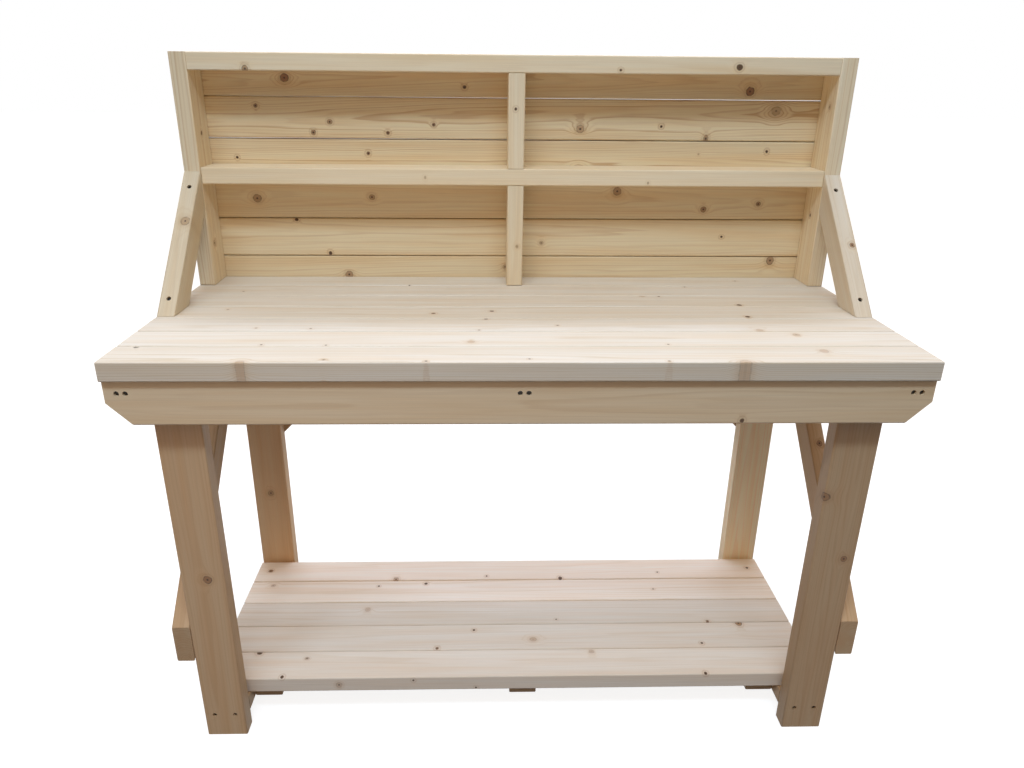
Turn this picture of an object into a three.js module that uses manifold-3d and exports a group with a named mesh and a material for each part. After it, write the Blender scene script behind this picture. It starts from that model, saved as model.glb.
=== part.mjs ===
// A potting bench of planed softwood: a boarded worktop on four legs, a slatted shelf close to the
// floor, and a shelf unit with a boarded back that stands on the worktop. Two timber sections, wide
// and narrow, make every piece, and wood screws hold them together. Nothing moves.
//
// Millimetres. +X is to the right, +Y to the back and +Z up. The origin is on the floor, under the
// middle of the bench.
import * as THREE from "three";
import { mergeVertices } from "three/addons/utils/BufferGeometryUtils.js";
import Module from "manifold-3d";

const wasm = await Module();
wasm.setup();

// ---- Driving dimensions ----

// Timber
const thick = 38; // thickness of every timber
const wide = 89; // width of a wide timber
const narrow = 63; // width of a narrow timber
const arris = 3; // radius along the four long edges
const jointGap = 0.3; // between two faces that meet

// Worktop and its frame
const benchLength = 1524; // worktop, aprons and back panel, end to end
const worktopHeight = 914; // floor to worktop surface
const worktopBoards = 7;
const worktopGap = 2; // between worktop boards
const apronSetback = 10; // front apron behind the worktop's front edge
const apronClip = 44; // cut off each lower corner of an apron, at 45 degrees
const sideBraceHead = 80; // plumb cut of a side brace, below the end bearer
const cornerBraceDropLeft = 380; // lowest corner of the rear corner brace, below the apron
const cornerBraceDropRight = 367; // the right one sits a little higher

// Lower shelf
const shelfHeight = 112; // floor to the shelf's surface
const shelfBoards = 5;
const shelfGap = 2.5; // between shelf boards
const shelfSetback = 12; // shelf's front edge behind the front legs
const battenSetback = 30; // batten ends inside the shelf's front and back edges
const middleBattenOffset = 15.5; // middle batten, to the right of the bench's middle

// Shelf unit on the worktop
const middleShelfHeight = 276; // worktop surface to the middle shelf's surface
const strutReach = 268; // foot of a strut in front of the upright that it props
const panelBoards = 6;
const panelWide = 92; // width of a panel board, from a slightly wider batch
const panelGap = 1.5; // between the boards of the back panel
const panelLap = 39.5; // the lowest panel board laps the worktop's back edge

// Wood screws, sunk below the surface
const screwLength = 75;
const screwHeadRadius = 4.7;
const screwHeadHeight = 4;
const screwThreadRadius = 2.5;
const screwRootRadius = 1.7;
const screwShankLength = 27; // plain length under the head
const screwTipLength = 8;
const threadRidges = 6;
const screwSink = 5; // head below the timber's surface
const recessDepth = 2;
const recessSpan = 5.2; // tip to tip of the cross recess
const recessSlot = 1.2; // width of its slots
const apronScrewDrop = 26; // screws below the apron's top edge
const apronScrewPitch = 16; // between the two screws of a pair
const legScrewRise = 21; // leg screws above the underside of the lower side bearers
const legScrewPitch = 45;
const strutScrewInset = 44; // screws from the ends of a strut's upper face

// How finely curves are divided
const arrisSteps = 2;
const screwSides = 10;

// ---- Derived places ----

const halfLength = benchLength / 2;
const worktopDepth = worktopBoards * wide + (worktopBoards - 1) * worktopGap;
const benchDepth = worktopDepth + thick; // the back panel stands behind the worktop
const worktopFront = -benchDepth / 2;
const worktopBack = worktopFront + worktopDepth;
const worktopUnderside = worktopHeight - thick;
const apronFront = worktopFront + apronSetback;
const apronBottom = worktopUnderside - wide;
const frontLegFace = apronFront + thick; // back of the front apron, face of the front legs
const rearApronFace = worktopBack - thick; // the rear apron is flush with the worktop's back edge
const rearLegFace = rearApronFace - thick;
const legOuter = halfLength - narrow; // an end bearer fits between leg and worktop end
const legInner = legOuter - wide;
const bearerUnderside = worktopUnderside - thick;
const shelfUnderside = shelfHeight - thick;
const shelfBearerBottom = shelfUnderside - thick;
const shelfFront = frontLegFace + thick + shelfSetback;
const shelfDepth = shelfBoards * wide + (shelfBoards - 1) * shelfGap;
const uprightFace = worktopBack - wide;
const uprightInner = halfLength - thick;
const panelHeight = panelBoards * panelWide + (panelBoards - 1) * panelGap;
const unitTop = worktopHeight - panelLap + panelHeight; // the panel reaches the top of the unit
const middleShelfTop = worktopHeight + middleShelfHeight;
const braceAngle = Math.PI / 4;
const braceUprightCut = narrow / Math.cos(braceAngle); // length of a plumb or level cut through a brace
const faceSetback = jointGap / 2; // every face is planed back by half the gap

// ---- Solids and cuts ----

// A closed geometry becomes a solid once its shared vertices are merged and the flat triangles
// at a revolved shape's poles are gone.
function toSolid(geometry) {
  geometry.deleteAttribute("normal");
  geometry.deleteAttribute("uv");
  const welded = mergeVertices(geometry);
  const corners = welded.index.array;
  const kept = [];
  for (let i = 0; i < corners.length; i += 3) {
    const [a, b, c] = corners.slice(i, i + 3);
    if (a !== b && b !== c && c !== a) {
      kept.push(a, b, c);
    }
  }
  const vertProperties = new Float32Array(welded.attributes.position.array);
  const triVerts = new Uint32Array(kept);
  return new wasm.Manifold(new wasm.Mesh({ numProp: 3, vertProperties, triVerts }));
}

function toGeometry(solid) {
  const { vertProperties, triVerts } = solid.getMesh();
  const geometry = new THREE.BufferGeometry();
  geometry.setAttribute("position", new THREE.BufferAttribute(vertProperties, 3));
  geometry.setIndex(new THREE.BufferAttribute(triVerts, 1));
  geometry.computeVertexNormals();
  return geometry;
}

// A timber's section: a rectangle with its four corners rounded.
function section(across, up) {
  const x = across / 2 - arris;
  const y = up / 2 - arris;
  const shape = new THREE.Shape();
  shape.absarc(x, y, arris, 0, Math.PI / 2);
  shape.absarc(-x, y, arris, Math.PI / 2, Math.PI);
  shape.absarc(-x, -y, arris, Math.PI, 1.5 * Math.PI);
  shape.absarc(x, -y, arris, 1.5 * Math.PI, 2 * Math.PI);
  return shape;
}

// A straight timber about the origin, with its grain and rounded edges along one axis.
function timberGeometry(size, along) {
  const sides = { x: [size.z, size.y], y: [size.x, size.z], z: [size.x, size.y] };
  const [across, up] = sides[along];
  const options = { depth: size[along], curveSegments: arrisSteps, bevelEnabled: false };
  const geometry = new THREE.ExtrudeGeometry(section(across, up), options);
  geometry.translate(0, 0, -size[along] / 2);
  if (along === "x") {
    geometry.rotateY(Math.PI / 2);
  }
  if (along === "y") {
    geometry.rotateX(-Math.PI / 2);
  }
  return geometry;
}

const pieces = new Map(); // every piece's solid and finish, by name, in the bench's own frame

function keep(name, solid, finish) {
  pieces.set(name, { solid, finish });
}

function cut(name, cutter) {
  const piece = pieces.get(name);
  piece.solid = piece.solid.subtract(cutter);
}

// A space given by its lowest and highest X, Y and Z, planed back on every side.
function planedBox(x, y, z) {
  const box = new THREE.Box3(new THREE.Vector3(x[0], y[0], z[0]), new THREE.Vector3(x[1], y[1], z[1]));
  return box.expandByScalar(-faceSetback);
}

// A square-ended timber that fills a space; its grain runs along the longest side.
function addTimber(name, x, y, z, finish) {
  const box = planedBox(x, y, z);
  const size = box.getSize(new THREE.Vector3());
  const centre = box.getCenter(new THREE.Vector3());
  const along = ["x", "y", "z"].reduce((a, b) => (size[b] > size[a] ? b : a));
  const geometry = timberGeometry(size, along);
  geometry.translate(centre.x, centre.y, centre.z);
  keep(name, toSolid(geometry), finish);
}

// A narrow timber at 45 degrees whose lower face passes through a point. It rises along +Y, or
// along X inward from the given side, and the space that it may fill gives it its level and plumb cuts.
function addBrace(name, lowPoint, rises, space, finish) {
  const spaceSize = space.getSize(new THREE.Vector3());
  const reach = 2 * (spaceSize.x + spaceSize.y + spaceSize.z);
  const size = new THREE.Vector3(thick, reach, narrow);
  size.x -= jointGap;
  size.z -= jointGap;
  const geometry = timberGeometry(size, "y");
  geometry.rotateX(braceAngle);
  const halfSection = new THREE.Vector3(0, -Math.sin(braceAngle), Math.cos(braceAngle));
  halfSection.multiplyScalar(narrow / 2);
  geometry.translate(0, halfSection.y, halfSection.z);
  if (rises !== "back") {
    geometry.rotateZ(rises === "right" ? -Math.PI / 2 : Math.PI / 2);
  }
  geometry.translate(lowPoint.x, lowPoint.y, lowPoint.z);
  const block = new THREE.BoxGeometry(spaceSize.x, spaceSize.y, spaceSize.z);
  const blockCentre = space.getCenter(new THREE.Vector3());
  block.translate(blockCentre.x, blockCentre.y, blockCentre.z);
  keep(name, toSolid(geometry).intersect(toSolid(block)), finish);
}

// ---- Finishes ----

const finishes = {
  worktop: { color: 0xeee4d2, roughness: 0.6, metalness: 0 },
  apron: { color: 0xb3a48c, roughness: 0.62, metalness: 0 },
  frame: { color: 0x9c8060, roughness: 0.62, metalness: 0 },
  shelf: { color: 0xe0cab2, roughness: 0.6, metalness: 0 },
  panel: { color: 0xcdab80, roughness: 0.62, metalness: 0 },
  unit: { color: 0xd9c8a8, roughness: 0.6, metalness: 0 },
  screw: { color: 0x8d8a80, roughness: 0.4, metalness: 1 },
};

const sides = [
  { name: "left", sign: -1, inward: "right", cornerBraceDrop: cornerBraceDropLeft },
  { name: "right", sign: 1, inward: "left", cornerBraceDrop: cornerBraceDropRight },
];

// Two values on one side of the bench, in rising order.
function spanOf(side, inner, outer) {
  return side.sign > 0 ? [inner, outer] : [-outer, -inner];
}

// ---- Worktop ----

for (let i = 0; i < worktopBoards; i += 1) {
  const y = worktopFront + i * (wide + worktopGap);
  addTimber(
    `worktop_board_${i + 1}`,
    [-halfLength, halfLength],
    [y, y + wide],
    [worktopUnderside, worktopHeight],
    finishes.worktop,
  );
}

// ---- Aprons, with their lower corners clipped ----

function apronClipWedge(side, face) {
  const corner = side.sign * halfLength;
  const overrun = thick; // past every face that the wedge has to cut through
  const shape = new THREE.Shape();
  shape.moveTo(corner - side.sign * apronClip, apronBottom);
  shape.lineTo(corner + side.sign * overrun, apronBottom + apronClip + overrun);
  shape.lineTo(corner + side.sign * overrun, apronBottom - overrun);
  shape.lineTo(corner - side.sign * (apronClip + overrun), apronBottom - overrun);
  const wedge = new THREE.ExtrudeGeometry(shape, { depth: thick + 2 * overrun, bevelEnabled: false });
  wedge.rotateX(Math.PI / 2);
  wedge.translate(0, face + thick + overrun, 0);
  return toSolid(wedge);
}

for (const [name, face] of [["front_apron", apronFront], ["rear_apron", rearApronFace]]) {
  addTimber(
    name,
    [-halfLength, halfLength],
    [face, face + thick],
    [apronBottom, worktopUnderside],
    finishes.apron,
  );
  for (const side of sides) {
    cut(name, apronClipWedge(side, face));
  }
}

// ---- Legs, and the bearers that the worktop lies on ----

for (const side of sides) {
  for (const [row, face] of [["front", frontLegFace], ["rear", rearLegFace]]) {
    addTimber(
      `${row}_leg_${side.name}`,
      spanOf(side, legInner, legOuter),
      [face, face + thick],
      [-faceSetback, worktopUnderside],
      finishes.frame,
    );
  }
  addTimber(
    `worktop_bearer_${side.name}`,
    spanOf(side, legOuter, halfLength),
    [frontLegFace, rearApronFace],
    [bearerUnderside, worktopUnderside],
    finishes.frame,
  );
}

addTimber(
  "worktop_bearer_middle",
  [-narrow / 2, narrow / 2],
  [frontLegFace, rearApronFace],
  [bearerUnderside, worktopUnderside],
  finishes.frame,
);

// ---- Braces ----

for (const side of sides) {
  const [sideInner, sideOuter] = spanOf(side, legOuter, legOuter + thick);
  addBrace(
    `side_brace_${side.name}`,
    new THREE.Vector3((sideInner + sideOuter) / 2, rearApronFace, bearerUnderside - sideBraceHead),
    "back",
    planedBox([sideInner, sideOuter], [frontLegFace, rearApronFace], [0, bearerUnderside]),
    finishes.frame,
  );
  addBrace(
    `rear_corner_brace_${side.name}`,
    new THREE.Vector3(
      side.sign * legOuter,
      rearApronFace + thick / 2,
      apronBottom - side.cornerBraceDrop,
    ),
    side.inward,
    planedBox(spanOf(side, 0, legOuter), [rearApronFace, rearApronFace + thick], [0, apronBottom]),
    finishes.frame,
  );
}

// ---- Lower shelf: side bearers between the legs, battens, and boards on top ----

for (const side of sides) {
  addTimber(
    `shelf_bearer_${side.name}`,
    spanOf(side, legInner, legOuter),
    [frontLegFace + thick, rearLegFace],
    [shelfBearerBottom, shelfUnderside],
    finishes.frame,
  );
}

const battenCentres = {
  left: -legInner + narrow / 2,
  middle: middleBattenOffset,
  right: legInner - narrow / 2,
};
for (const [name, x] of Object.entries(battenCentres)) {
  addTimber(
    `shelf_batten_${name}`,
    [x - narrow / 2, x + narrow / 2],
    [shelfFront + battenSetback, shelfFront + shelfDepth - battenSetback],
    [shelfBearerBottom, shelfUnderside],
    finishes.shelf,
  );
}

for (let i = 0; i < shelfBoards; i += 1) {
  const y = shelfFront + i * (wide + shelfGap);
  addTimber(
    `shelf_board_${i + 1}`,
    [-legOuter, legOuter],
    [y, y + wide],
    [shelfUnderside, shelfHeight],
    finishes.shelf,
  );
}

// ---- Shelf unit ----

for (const side of sides) {
  addTimber(
    `upright_${side.name}`,
    spanOf(side, uprightInner, halfLength),
    [uprightFace, worktopBack],
    [worktopHeight, unitTop],
    finishes.unit,
  );
  const strutSpan = spanOf(side, uprightInner, halfLength);
  addBrace(
    `strut_${side.name}`,
    new THREE.Vector3(
      (strutSpan[0] + strutSpan[1]) / 2,
      uprightFace - strutReach + braceUprightCut,
      worktopHeight,
    ),
    "back",
    planedBox(strutSpan, [uprightFace - strutReach, uprightFace], [worktopHeight, unitTop]),
    finishes.unit,
  );
}

for (const [name, top] of [["top_rail", unitTop], ["middle_shelf", middleShelfTop]]) {
  addTimber(
    name,
    [-uprightInner, uprightInner],
    [uprightFace, worktopBack],
    [top - thick, top],
    finishes.unit,
  );
}

const postHeights = {
  lower: [worktopHeight, middleShelfTop - thick],
  upper: [middleShelfTop, unitTop - thick],
};
for (const [name, heights] of Object.entries(postHeights)) {
  addTimber(
    `centre_post_${name}`,
    [-thick / 2, thick / 2],
    [uprightFace, worktopBack],
    heights,
    finishes.unit,
  );
}

for (let i = 0; i < panelBoards; i += 1) {
  const top = unitTop - i * (panelWide + panelGap);
  addTimber(
    `panel_board_${i + 1}`,
    [-halfLength, halfLength],
    [worktopBack, worktopBack + thick],
    [top - panelWide, top],
    finishes.panel,
  );
}

// ---- Screws and the holes they sit in ----

// Profiles start at the tip and end at the top, with the top of the head at height zero.
function screwGeometry() {
  const profile = [new THREE.Vector2(0, -screwLength)];
  const threadTop = -screwHeadHeight - screwShankLength;
  const threadBottom = -screwLength + screwTipLength;
  const ridge = (threadTop - threadBottom) / threadRidges;
  for (let i = 0; i < threadRidges; i += 1) {
    profile.push(new THREE.Vector2(screwRootRadius, threadBottom + i * ridge));
    profile.push(new THREE.Vector2(screwThreadRadius, threadBottom + (i + 0.5) * ridge));
  }
  profile.push(new THREE.Vector2(screwRootRadius, threadTop));
  profile.push(new THREE.Vector2(screwRootRadius, -screwHeadHeight));
  profile.push(new THREE.Vector2(screwHeadRadius, 0));
  profile.push(new THREE.Vector2(0, 0));
  return new THREE.LatheGeometry(profile, screwSides);
}

function screwHoleGeometry() {
  const overrun = 2 * screwSink;
  const profile = [
    new THREE.Vector2(0, -screwLength - jointGap),
    new THREE.Vector2(screwThreadRadius + jointGap, -screwLength - jointGap),
    new THREE.Vector2(screwThreadRadius + jointGap, -screwHeadHeight),
    new THREE.Vector2(screwHeadRadius + jointGap, -jointGap),
    new THREE.Vector2(screwHeadRadius + jointGap, overrun),
    new THREE.Vector2(0, overrun),
  ];
  return new THREE.LatheGeometry(profile, screwSides);
}

function crossRecess() {
  const slots = [];
  for (const [x, z] of [[recessSpan, recessSlot], [recessSlot, recessSpan]]) {
    slots.push(toSolid(new THREE.BoxGeometry(x, 2 * recessDepth, z)));
  }
  return slots[0].add(slots[1]);
}

const screwSolid = toSolid(screwGeometry()).subtract(crossRecess());

// Drives a screw through a point on a surface, along a direction, into the pieces named.
function addScrew(name, surfacePoint, direction, throughPieces) {
  const turn = new THREE.Quaternion().setFromUnitVectors(new THREE.Vector3(0, -1, 0), direction);
  const place = new THREE.Matrix4().compose(
    surfacePoint.clone().addScaledVector(direction, screwSink),
    turn,
    new THREE.Vector3(1, 1, 1),
  );
  const screw = toGeometry(screwSolid).applyMatrix4(place);
  keep(name, toSolid(screw), finishes.screw);
  const hole = toSolid(screwHoleGeometry().applyMatrix4(place));
  for (const piece of throughPieces) {
    cut(piece, hole);
  }
}

const backward = new THREE.Vector3(0, 1, 0);

// Pairs through the front apron into the ends of the worktop bearers.
const bearerCentres = { left: -(legOuter + narrow / 2), middle: 0, right: legOuter + narrow / 2 };
let apronScrews = 0;
for (const [name, x] of Object.entries(bearerCentres)) {
  for (const offset of [-apronScrewPitch / 2, apronScrewPitch / 2]) {
    apronScrews += 1;
    const point = new THREE.Vector3(x + offset, apronFront, worktopUnderside - apronScrewDrop);
    addScrew(`apron_screw_${apronScrews}`, point, backward, ["front_apron", `worktop_bearer_${name}`]);
  }
}

// Pairs through the feet of the front legs into the ends of the lower side bearers.
let legScrews = 0;
for (const side of sides) {
  const x = side.sign * (legInner + wide / 2);
  for (const offset of [-legScrewPitch / 2, legScrewPitch / 2]) {
    legScrews += 1;
    const point = new THREE.Vector3(x + offset, frontLegFace, shelfBearerBottom + legScrewRise);
    const through = [`front_leg_${side.name}`, `shelf_bearer_${side.name}`];
    addScrew(`leg_screw_${legScrews}`, point, backward, through);
  }
}

// One screw near each end of a strut, square to its upper face.
const squareToStrut = new THREE.Vector3(0, Math.sin(braceAngle), -Math.cos(braceAngle));
const strutFaceLength = strutReach / Math.cos(braceAngle);
const strutTies = [
  { along: strutScrewInset, into: worktopBoardsUnder },
  { along: strutFaceLength - strutScrewInset, into: (side) => [`upright_${side.name}`] },
];

// The worktop boards that lie under a strut's foot screw.
function worktopBoardsUnder() {
  const start = uprightFace - strutReach + strutScrewInset * Math.cos(braceAngle);
  const finish = start + screwLength;
  const names = [];
  for (let i = 0; i < worktopBoards; i += 1) {
    const y = worktopFront + i * (wide + worktopGap);
    if (y < finish && y + wide > start) {
      names.push(`worktop_board_${i + 1}`);
    }
  }
  return names;
}

let strutScrews = 0;
for (const side of sides) {
  for (const tie of strutTies) {
    strutScrews += 1;
    const rise = tie.along * Math.cos(braceAngle);
    const point = new THREE.Vector3(
      side.sign * (halfLength - thick / 2),
      uprightFace - strutReach + rise,
      worktopHeight + rise,
    );
    const through = [`strut_${side.name}`, ...tie.into(side)];
    addScrew(`strut_screw_${strutScrews}`, point, squareToStrut, through);
  }
}

// ---- Bench ----

const bench = new THREE.Group();
bench.name = "potting_bench";

for (const [name, { solid, finish }] of pieces) {
  const geometry = toGeometry(solid);
  geometry.computeBoundingBox();
  const centre = geometry.boundingBox.getCenter(new THREE.Vector3());
  geometry.translate(-centre.x, -centre.y, -centre.z);
  const mesh = new THREE.Mesh(geometry, new THREE.MeshStandardMaterial(finish));
  mesh.name = name;
  mesh.position.copy(centre);
  bench.add(mesh);
}

export default bench;
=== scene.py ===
# %% [markdown]
# # A potting bench in planed spruce
# The bench is a carpenter's piece: two sections of planed timber, sawn to length and held by wood
# screws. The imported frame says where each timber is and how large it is. This lesson saws and rounds
# each one again with bmesh, drills it for its screws, and gives it wood that grows right through the
# piece, so that the rings on the face, the edge and the sawn end belong to one tree.

# %% Load the frame
import math
import random

import bmesh
import bpy
import numpy as np
from mathutils import Matrix, Vector


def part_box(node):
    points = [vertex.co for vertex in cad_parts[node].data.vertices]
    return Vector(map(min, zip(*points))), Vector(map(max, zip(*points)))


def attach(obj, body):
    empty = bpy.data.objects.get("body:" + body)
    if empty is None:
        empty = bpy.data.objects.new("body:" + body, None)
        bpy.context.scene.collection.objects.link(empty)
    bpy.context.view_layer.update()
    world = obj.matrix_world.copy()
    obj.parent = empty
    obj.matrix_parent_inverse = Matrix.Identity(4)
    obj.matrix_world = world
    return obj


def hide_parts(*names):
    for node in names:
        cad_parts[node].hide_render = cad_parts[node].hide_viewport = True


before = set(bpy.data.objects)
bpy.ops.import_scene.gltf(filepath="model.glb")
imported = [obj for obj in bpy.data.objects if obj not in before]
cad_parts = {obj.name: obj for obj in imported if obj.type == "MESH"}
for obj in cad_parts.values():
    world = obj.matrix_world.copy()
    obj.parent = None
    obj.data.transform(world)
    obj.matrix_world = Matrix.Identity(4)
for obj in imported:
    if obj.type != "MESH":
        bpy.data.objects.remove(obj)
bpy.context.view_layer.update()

# %% [markdown]
# ## Units and the two timber sections
# Blender works in metres and a carpenter in millimetres, so one factor turns the one into the other.
# The wide section makes the boards and legs, the narrow one the braces, struts and posts. Both have
# the same thickness and a small round along their four long edges, which the planer leaves. Only the
# middle shelf has its ends sanded round as well.

# %% Timber sections
MM = 0.001
THICK = 38 * MM
WIDE = 89 * MM
NARROW = 63 * MM
ARRIS = 3 * MM
ARRIS_STEPS = 4
JOINT_GAP = 0.3 * MM
SAW_BREAK = 0.8 * MM
SANDED_END = 2.2 * MM
RIM_STEPS = 2
OVERLENGTH = 1.1  # a bar is this much too long before it is sawn
BRACE_OVERLENGTH = 2
ONE_POINT = 1e-6  # metres; points closer than this are one
X, Y, Z = Vector((1, 0, 0)), Vector((0, 1, 0)), Vector((0, 0, 1))


def millimetres(*place):
    return Vector(place) * MM


print("A wide board is", WIDE / MM, "by", THICK / MM, "mm")

# %% [markdown]
# ## A planed bar, sawn to length
# Each timber starts as a bar that is too long. Its long edges are rounded first, because the planer
# does that along the whole length, and then saw cuts take off the ends. A saw cut is bisect_plane:
# it throws away what is outside, and holes_fill closes the cut with one face. The rim of a cut keeps
# only a hair of a chamfer, as sandpaper leaves it, so that a sawn end looks crisper than a long edge.


# %% Bars and saw cuts
def planed_bar(along, across, length, width, depth, centre):
    """A bar with round long edges. Its length runs along one direction, its width across it."""
    bar = bmesh.new()
    bmesh.ops.create_cube(bar, size=1)
    bmesh.ops.scale(bar, vec=(length, width, depth), verts=bar.verts)
    long_edges = [e for e in bar.edges if abs(e.verts[0].co.x - e.verts[1].co.x) > length / 2]
    bmesh.ops.bevel(bar, geom=long_edges, offset=ARRIS, offset_type="OFFSET", segments=ARRIS_STEPS,
                    profile=0.5, affect="EDGES", material=-1)
    turn = Matrix((along, across, along.cross(across))).transposed().to_4x4()
    bmesh.ops.transform(bar, matrix=Matrix.Translation(centre) @ turn, verts=bar.verts)
    return bar


def saw(bar, point, outward, rounding=SAW_BREAK):
    """Cuts off what lies beyond a plane, closes the cut and breaks its sharp rim."""
    everything = bar.verts[:] + bar.edges[:] + bar.faces[:]
    cut = bmesh.ops.bisect_plane(bar, geom=everything, dist=ONE_POINT, plane_co=point, plane_no=outward,
                                 clear_outer=True)
    rim = [e for e in cut["geom_cut"] if isinstance(e, bmesh.types.BMEdge)]
    if not rim:
        return
    bmesh.ops.holes_fill(bar, edges=rim)
    bmesh.ops.bevel(bar, geom=rim, offset=rounding, offset_type="OFFSET", segments=RIM_STEPS,
                    profile=0.5, affect="EDGES", material=-1)


trial = planed_bar(X, Y, 1, WIDE, THICK, Vector())
saw(trial, Vector((0.3, 0, 0)), X)
print("A bar with one sawn end has", len(trial.faces), "faces")
trial.free()

# %% [markdown]
# ## One timber for each node of the frame
# A straight timber fills its node's box: the longest side is its length, the next its width. The
# three kinds of brace rise at 45 degrees, so they are turned bars, and level and plumb cuts fit them
# to what they meet. The two aprons lose their lower corners to a third kind of cut.


# %% Straight and rising timbers
def straight_timber(node):
    """A bar that fills its node's box, with its length along the box's longest side."""
    low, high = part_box(node)
    size = high - low
    order = sorted(range(3), key=lambda i: size[i], reverse=True)
    along, across = (X, Y, Z)[order[0]], (X, Y, Z)[order[1]]
    centre = (low + high) / 2
    length, width, depth = (size[i] for i in order)
    bar = planed_bar(along, across, length * OVERLENGTH, width, depth, centre)
    rounding = SANDED_END if node == "middle_shelf" else SAW_BREAK
    saw(bar, high, along, rounding)
    saw(bar, low, -along, rounding)
    return bar, along, across, centre


def rising_timber(node, inward, foot, cuts):
    """A narrow bar at 45 degrees. Foot is on its lower face, and the box's faces in cuts trim it."""
    low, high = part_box(node)
    along = (inward + Z).normalized()
    upward = (Z - inward).normalized()
    sideways = along.cross(upward)
    middle = (low + high) / 2
    lower_face = foot + along * (middle - foot).dot(along)
    centre = lower_face + upward * (NARROW - JOINT_GAP) / 2
    centre += sideways * (middle - centre).dot(sideways)
    reach = BRACE_OVERLENGTH * (high - low).length
    bar = planed_bar(along, upward, reach, NARROW - JOINT_GAP, THICK - JOINT_GAP, centre)
    for outward in cuts:
        saw(bar, high if sum(outward) > 0 else low, outward)
    return bar, along, upward, centre


APRON_CLIP = 44 * MM
straight_names = [name for name in sorted(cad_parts)
                  if "brace" not in name and "strut" not in name and "screw" not in name]
timbers = {name: straight_timber(name) for name in straight_names}
for name in ("front_apron", "rear_apron"):
    low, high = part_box(name)
    for corner, side in ((low, -X), (Vector((high.x, low.y, low.z)), X)):
        saw(timbers[name][0], corner - side * APRON_CLIP, (side - Z).normalized())

# Long boards are never quite straight: the second panel board rises towards its left end.
SPRING = 1.1 * MM
low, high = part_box("panel_board_2")
for vert in timbers["panel_board_2"][0].verts:
    vert.co.z += SPRING * (high.x - vert.co.x) / (high.x - low.x)

LEVEL_CUT = NARROW * math.sqrt(2)
for side, inward in (("left", X), ("right", -X)):
    low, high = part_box(f"side_brace_{side}")
    timbers[f"side_brace_{side}"] = rising_timber(f"side_brace_{side}", Y, low, (-Y, Y, Z))
    low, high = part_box(f"strut_{side}")
    timbers[f"strut_{side}"] = rising_timber(f"strut_{side}", Y, low + Y * LEVEL_CUT, (-Z, Y))
    low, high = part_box(f"rear_corner_brace_{side}")
    foot = low if side == "left" else Vector((high.x, low.y, low.z))
    timbers[f"rear_corner_brace_{side}"] = rising_timber(
        f"rear_corner_brace_{side}", inward, foot, (-inward, Z))
print(len(timbers), "timbers are sawn")

# %% [markdown]
# ## Wood screws
# A countersunk wood screw is a turned piece: a spin of its outline about its own axis makes the cone
# of the head, the plain shank and the ridged thread. The cross recess is two slots, cut with a
# Boolean modifier, which is then applied. The hole that the screw sits in is a second, simpler spin
# and cuts the timber in the same way.

# %% Screw outlines
SCREW_LENGTH = 75 * MM
HEAD_RADIUS = 4.7 * MM
HEAD_HEIGHT = 4 * MM
SHANK_RADIUS = 1.9 * MM
THREAD_RADIUS = 2.5 * MM
SHANK_LENGTH = 27 * MM
TIP_LENGTH = 8 * MM
SCREW_SINK = 5 * MM
RECESS_DEPTH = 2 * MM
RECESS_SPAN = 5.2 * MM
RECESS_SLOT = 1.2 * MM
RIM_TOP, RIM_BOTTOM = -0.1 * MM, -0.5 * MM
FLAT_SHARE = 0.94  # of the head's radius
ROOT_SHARE = 0.85  # of the shank's radius, between two ridges of the thread
DRILL_PAST = 1 * MM
THREAD_RIDGES = 12
SPIN_STEPS = 20


def spun(outline, name):
    """A closed mesh turned about +Z from points (radius, height) that start and end on the axis."""
    turned = bmesh.new()
    points = [turned.verts.new((radius, 0, height)) for radius, height in outline]
    edges = [turned.edges.new(pair) for pair in zip(points, points[1:])]
    bmesh.ops.spin(turned, geom=points + edges, cent=(0, 0, 0), axis=(0, 0, 1), angle=math.tau,
                   steps=SPIN_STEPS, use_merge=True)
    bmesh.ops.remove_doubles(turned, verts=turned.verts, dist=ONE_POINT)
    bmesh.ops.recalc_face_normals(turned, faces=turned.faces)
    mesh = bpy.data.meshes.new(name)
    turned.to_mesh(mesh)
    turned.free()
    return mesh


def screw_outline():
    outline = [(0, -SCREW_LENGTH)]
    thread_top = -HEAD_HEIGHT - SHANK_LENGTH
    ridge = (SCREW_LENGTH - TIP_LENGTH + thread_top) / THREAD_RIDGES
    for i in range(THREAD_RIDGES):
        height = -SCREW_LENGTH + TIP_LENGTH + i * ridge
        outline += [(SHANK_RADIUS * ROOT_SHARE, height), (THREAD_RADIUS, height + ridge / 2)]
    outline += [(SHANK_RADIUS, thread_top), (SHANK_RADIUS, -HEAD_HEIGHT)]
    outline += [(HEAD_RADIUS, RIM_BOTTOM), (HEAD_RADIUS, RIM_TOP), (HEAD_RADIUS * FLAT_SHARE, 0), (0, 0)]
    return outline


def mesh_object(name, mesh):
    made = bpy.data.objects.new(name, mesh)
    bpy.context.scene.collection.objects.link(made)
    return made


def cut_away(piece, cutter_mesh):
    """Subtracts one mesh from a piece and applies the result, so that no modifier is left."""
    cutter = mesh_object("cutter", cutter_mesh)
    boolean = piece.modifiers.new("drill", "BOOLEAN")
    boolean.operation = "DIFFERENCE"
    boolean.solver = "EXACT"
    boolean.object = cutter
    graph = bpy.context.evaluated_depsgraph_get()
    result = bpy.data.meshes.new_from_object(piece.evaluated_get(graph))
    piece.modifiers.clear()
    piece.data = result
    bpy.data.objects.remove(cutter)


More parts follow.
